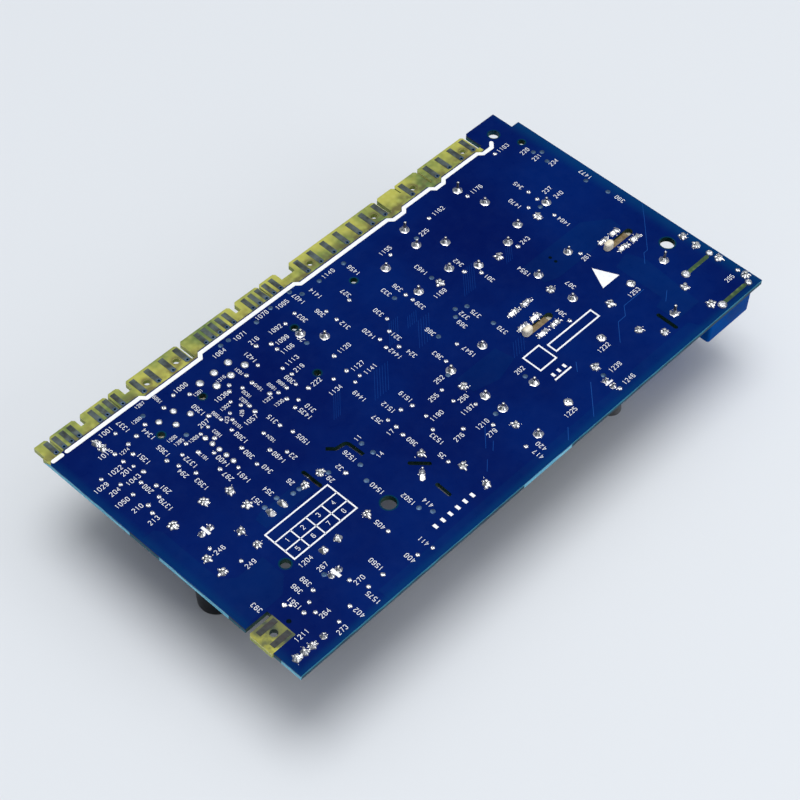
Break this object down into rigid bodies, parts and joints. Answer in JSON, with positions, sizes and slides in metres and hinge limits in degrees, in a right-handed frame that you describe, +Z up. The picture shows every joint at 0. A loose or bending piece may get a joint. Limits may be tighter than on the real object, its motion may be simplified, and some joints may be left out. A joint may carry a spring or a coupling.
{
  "type": "washing machine control board",
  "caption": "Control board of a washing machine, lying solder side up on its tallest parts, with card-edge connector fingers along one side.",
  "frame": {"origin": "on the resting plane, under the middle of the board", "axes": "+Z up out of the solder side, +Y towards the edge connectors, +X along the board to the mains end"},
  "size_m": [0.1768, 0.0956, 0.0333],
  "materials": {
    "laminate": "dark blue solder mask over glass-fibre laminate",
    "finger_metal": "dull tinned copper",
    "solder": "bright solder",
    "relay_case": "moulded plastic",
    "can_sleeve": "shrunk plastic sleeve",
    "film_case": "potted plastic case",
    "choke_case": "potted plastic case",
    "disc_coating": "dipped epoxy",
    "ferrite": "sintered ferrite",
    "core_coating": "painted iron powder",
    "enamelled_wire": "enamelled copper",
    "winding_tape": "wound tape",
    "bobbin_plastic": "moulded plastic",
    "housing_plastic": "ivory moulded plastic",
    "tab_metal": "tinned brass",
    "resistor_coating": "lacquered body",
    "chip_epoxy": "moulded epoxy",
    "lead_metal": "tinned leads",
    "crystal_can": "drawn can",
    "chip_ceramic": "fired ceramic"
  },
  "bodies": {
    "root": {"axial_choke": "bobbin_plastic", "board": "laminate", "bulk_capacitor": "can_sleeve", "buzzer": "bobbin_plastic", "chip_parts": "chip_ceramic", "cone_joints": "solder", "crystal": "crystal_can", "edge_fingers": "finger_metal", "film_capacitor_1": "film_case", "film_capacitor_2": "film_case", "fuse_resistor": "resistor_coating", "header_4": "housing_plastic", "header_5": "housing_plastic", "header_6": "housing_plastic", "header_joints": "solder", "header_pins": "lead_metal", "jumper_block": "bobbin_plastic", "line_choke": "choke_case", "mains_capacitor": "film_case", "memory_chip": "chip_epoxy", "memory_chip_leads": "lead_metal", "microcontroller": "chip_epoxy", "microcontroller_leads": "lead_metal", "relay_1": "relay_case", "relay_2": "relay_case", "relay_3": "relay_case", "relay_4": "relay_case", "relay_5": "relay_case", "relay_6": "relay_case", "relay_driver": "chip_epoxy", "relay_driver_leads": "lead_metal", "round_joints": "solder", "safety_capacitor_1": "disc_coating", "safety_capacitor_2": "disc_coating", "safety_capacitor_3": "disc_coating", "small_capacitor_1": "can_sleeve", "small_capacitor_2": "can_sleeve", "small_capacitor_3": "can_sleeve", "small_joints": "solder", "star_joints": "solder", "tab_housing_1": "housing_plastic", "tab_housing_2": "housing_plastic", "tab_joints": "solder", "tabs_1": "tab_metal", "tabs_2": "tab_metal", "test_points": "solder", "toroid_core": "core_coating", "toroid_winding": "enamelled_wire", "transformer_bobbin": "bobbin_plastic", "transformer_core": "ferrite", "transformer_winding": "winding_tape", "varistor_1": "disc_coating", "varistor_2": "disc_coating"}
  },
  "joints": []
}
